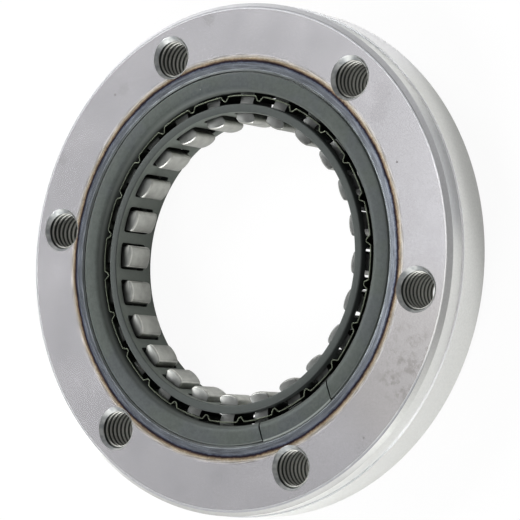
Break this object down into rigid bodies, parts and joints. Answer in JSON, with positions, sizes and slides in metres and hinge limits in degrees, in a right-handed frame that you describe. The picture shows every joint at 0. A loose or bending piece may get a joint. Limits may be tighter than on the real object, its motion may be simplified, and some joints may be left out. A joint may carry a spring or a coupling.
{
  "type": "starter clutch",
  "caption": "Round one-way clutch: a hardened steel ring with tapped holes, holding pressed cages, a ribbon spring and a full circle of rocking sprags.",
  "frame": {"origin": "centre of the ring's flat back face", "axes": "+Z along the clutch's axis from the back face to the front face with the countersunk tapped holes; X and Y as in the front view, with the first tapped hole 49.5 degrees from +X"},
  "size_m": [0.099, 0.099, 0.0125],
  "materials": {
    "ring_steel": "ground hardened steel, satin, with faint heat tint round the cage seat",
    "cage_steel": "pressed steel, dark grey-green, dull",
    "spring_steel": "thin rolled spring steel, pale, satin",
    "sprag_steel": "hardened steel, tumbled, satin with bright edges"
  },
  "bodies": {
    "outer_ring": {"outer_ring": "ring_steel"},
    "outer_cage": {"outer_cage": "cage_steel"},
    "ribbon_spring": {"ribbon_spring": "spring_steel"},
    "inner_cage": {"inner_cage": "cage_steel"},
    "sprag_01": {"sprag_01": "sprag_steel"},
    "sprag_02": {"sprag_02": "sprag_steel"},
    "sprag_03": {"sprag_03": "sprag_steel"},
    "sprag_04": {"sprag_04": "sprag_steel"},
    "sprag_05": {"sprag_05": "sprag_steel"},
    "sprag_06": {"sprag_06": "sprag_steel"},
    "sprag_07": {"sprag_07": "sprag_steel"},
    "sprag_08": {"sprag_08": "sprag_steel"},
    "sprag_09": {"sprag_09": "sprag_steel"},
    "sprag_10": {"sprag_10": "sprag_steel"},
    "sprag_11": {"sprag_11": "sprag_steel"},
    "sprag_12": {"sprag_12": "sprag_steel"},
    "sprag_13": {"sprag_13": "sprag_steel"},
    "sprag_14": {"sprag_14": "sprag_steel"},
    "sprag_15": {"sprag_15": "sprag_steel"},
    "sprag_16": {"sprag_16": "sprag_steel"},
    "sprag_17": {"sprag_17": "sprag_steel"},
    "sprag_18": {"sprag_18": "sprag_steel"},
    "sprag_19": {"sprag_19": "sprag_steel"},
    "sprag_20": {"sprag_20": "sprag_steel"},
    "sprag_21": {"sprag_21": "sprag_steel"},
    "sprag_22": {"sprag_22": "sprag_steel"},
    "sprag_23": {"sprag_23": "sprag_steel"},
    "sprag_24": {"sprag_24": "sprag_steel"}
  },
  "joints": [
    {"name": "outer_cage_turn", "type": "hinge", "parent": "outer_ring", "child": "outer_cage", "pos_m": [0, 0, 0.00685], "axis": [0, 0, 1], "continuous": true},
    {"name": "sprag_01_rock", "type": "hinge", "parent": "outer_cage", "child": "sprag_01", "pos_m": [0.03211, 0.00669, 0.00685], "axis": [0, 0, 1], "range_deg": [0, 12], "stiffness_Nm_per_rad": 0.01},
    {"name": "sprag_02_rock", "type": "hinge", "parent": "outer_cage", "child": "sprag_02", "pos_m": [0.02929, 0.01478, 0.00685], "axis": [0, 0, 1], "range_deg": [0, 12]},
    {"name": "sprag_03_rock", "type": "hinge", "parent": "outer_cage", "child": "sprag_03", "pos_m": [0.02447, 0.02185, 0.00685], "axis": [0, 0, 1], "range_deg": [0, 12]},
    {"name": "sprag_04_rock", "type": "hinge", "parent": "outer_cage", "child": "sprag_04", "pos_m": [0.01798, 0.02744, 0.00685], "axis": [0, 0, 1], "range_deg": [0, 12]},
    {"name": "sprag_05_rock", "type": "hinge", "parent": "outer_cage", "child": "sprag_05", "pos_m": [0.01026, 0.03116, 0.00685], "axis": [0, 0, 1], "range_deg": [0, 12]},
    {"name": "sprag_06_rock", "type": "hinge", "parent": "outer_cage", "child": "sprag_06", "pos_m": [0.00185, 0.03275, 0.00685], "axis": [0, 0, 1], "range_deg": [0, 12]},
    {"name": "sprag_07_rock", "type": "hinge", "parent": "outer_cage", "child": "sprag_07", "pos_m": [-0.00669, 0.03211, 0.00685], "axis": [0, 0, 1], "range_deg": [0, 12]},
    {"name": "sprag_08_rock", "type": "hinge", "parent": "outer_cage", "child": "sprag_08", "pos_m": [-0.01478, 0.02929, 0.00685], "axis": [0, 0, 1], "range_deg": [0, 12]},
    {"name": "sprag_09_rock", "type": "hinge", "parent": "outer_cage", "child": "sprag_09", "pos_m": [-0.02185, 0.02447, 0.00685], "axis": [0, 0, 1], "range_deg": [0, 12]},
    {"name": "sprag_10_rock", "type": "hinge", "parent": "outer_cage", "child": "sprag_10", "pos_m": [-0.02744, 0.01798, 0.00685], "axis": [0, 0, 1], "range_deg": [0, 12]},
    {"name": "sprag_11_rock", "type": "hinge", "parent": "outer_cage", "child": "sprag_11", "pos_m": [-0.03116, 0.01026, 0.00685], "axis": [0, 0, 1], "range_deg": [0, 12]},
    {"name": "sprag_12_rock", "type": "hinge", "parent": "outer_cage", "child": "sprag_12", "pos_m": [-0.03275, 0.00185, 0.00685], "axis": [0, 0, 1], "range_deg": [0, 12]},
    {"name": "sprag_13_rock", "type": "hinge", "parent": "outer_cage", "child": "sprag_13", "pos_m": [-0.03211, -0.00669, 0.00685], "axis": [0, 0, 1], "range_deg": [0, 12]},
    {"name": "sprag_14_rock", "type": "hinge", "parent": "outer_cage", "child": "sprag_14", "pos_m": [-0.02929, -0.01478, 0.00685], "axis": [0, 0, 1], "range_deg": [0, 12]},
    {"name": "sprag_15_rock", "type": "hinge", "parent": "outer_cage", "child": "sprag_15", "pos_m": [-0.02447, -0.02185, 0.00685], "axis": [0, 0, 1], "range_deg": [0, 12]},
    {"name": "sprag_16_rock", "type": "hinge", "parent": "outer_cage", "child": "sprag_16", "pos_m": [-0.01798, -0.02744, 0.00685], "axis": [0, 0, 1], "range_deg": [0, 12]},
    {"name": "sprag_17_rock", "type": "hinge", "parent": "outer_cage", "child": "sprag_17", "pos_m": [-0.01026, -0.03116, 0.00685], "axis": [0, 0, 1], "range_deg": [0, 12]},
    {"name": "sprag_18_rock", "type": "hinge", "parent": "outer_cage", "child": "sprag_18", "pos_m": [-0.00185, -0.03275, 0.00685], "axis": [0, 0, 1], "range_deg": [0, 12]},
    {"name": "sprag_19_rock", "type": "hinge", "parent": "outer_cage", "child": "sprag_19", "pos_m": [0.00669, -0.03211, 0.00685], "axis": [0, 0, 1], "range_deg": [0, 12]},
    {"name": "sprag_20_rock", "type": "hinge", "parent": "outer_cage", "child": "sprag_20", "pos_m": [0.01478, -0.02929, 0.00685], "axis": [0, 0, 1], "range_deg": [0, 12]},
    {"name": "sprag_21_rock", "type": "hinge", "parent": "outer_cage", "child": "sprag_21", "pos_m": [0.02185, -0.02447, 0.00685], "axis": [0, 0, 1], "range_deg": [0, 12]},
    {"name": "sprag_22_rock", "type": "hinge", "parent": "outer_cage", "child": "sprag_22", "pos_m": [0.02744, -0.01798, 0.00685], "axis": [0, 0, 1], "range_deg": [0, 12]},
    {"name": "sprag_23_rock", "type": "hinge", "parent": "outer_cage", "child": "sprag_23", "pos_m": [0.03116, -0.01026, 0.00685], "axis": [0, 0, 1], "range_deg": [0, 12]},
    {"name": "sprag_24_rock", "type": "hinge", "parent": "outer_cage", "child": "sprag_24", "pos_m": [0.03275, -0.00185, 0.00685], "axis": [0, 0, 1], "range_deg": [0, 12]},
    {"name": "inner_cage_phase", "type": "hinge", "parent": "outer_cage", "child": "inner_cage", "pos_m": [0, 0, 0.00635], "axis": [0, 0, 1], "range_deg": [-1.6, 0]},
    {"name": "ribbon_spring_shift", "type": "hinge", "parent": "outer_cage", "child": "ribbon_spring", "pos_m": [0, 0, 0.00655], "axis": [0, 0, 1], "range_deg": [-0.54, 0]}
  ],
  "couplings": [
    {"joint": "sprag_02_rock", "follows": "sprag_01_rock", "ratio": 1},
    {"joint": "sprag_03_rock", "follows": "sprag_01_rock", "ratio": 1},
    {"joint": "sprag_04_rock", "follows": "sprag_01_rock", "ratio": 1},
    {"joint": "sprag_05_rock", "follows": "sprag_01_rock", "ratio": 1},
    {"joint": "sprag_06_rock", "follows": "sprag_01_rock", "ratio": 1},
    {"joint": "sprag_07_rock", "follows": "sprag_01_rock", "ratio": 1},
    {"joint": "sprag_08_rock", "follows": "sprag_01_rock", "ratio": 1},
    {"joint": "sprag_09_rock", "follows": "sprag_01_rock", "ratio": 1},
    {"joint": "sprag_10_rock", "follows": "sprag_01_rock", "ratio": 1},
    {"joint": "sprag_11_rock", "follows": "sprag_01_rock", "ratio": 1},
    {"joint": "sprag_12_rock", "follows": "sprag_01_rock", "ratio": 1},
    {"joint": "sprag_13_rock", "follows": "sprag_01_rock", "ratio": 1},
    {"joint": "sprag_14_rock", "follows": "sprag_01_rock", "ratio": 1},
    {"joint": "sprag_15_rock", "follows": "sprag_01_rock", "ratio": 1},
    {"joint": "sprag_16_rock", "follows": "sprag_01_rock", "ratio": 1},
    {"joint": "sprag_17_rock", "follows": "sprag_01_rock", "ratio": 1},
    {"joint": "sprag_18_rock", "follows": "sprag_01_rock", "ratio": 1},
    {"joint": "sprag_19_rock", "follows": "sprag_01_rock", "ratio": 1},
    {"joint": "sprag_20_rock", "follows": "sprag_01_rock", "ratio": 1},
    {"joint": "sprag_21_rock", "follows": "sprag_01_rock", "ratio": 1},
    {"joint": "sprag_22_rock", "follows": "sprag_01_rock", "ratio": 1},
    {"joint": "sprag_23_rock", "follows": "sprag_01_rock", "ratio": 1},
    {"joint": "sprag_24_rock", "follows": "sprag_01_rock", "ratio": 1},
    {"joint": "inner_cage_phase", "follows": "sprag_01_rock", "ratio": -0.1322},
    {"joint": "ribbon_spring_shift", "follows": "sprag_01_rock", "ratio": -0.0446}
  ]
}
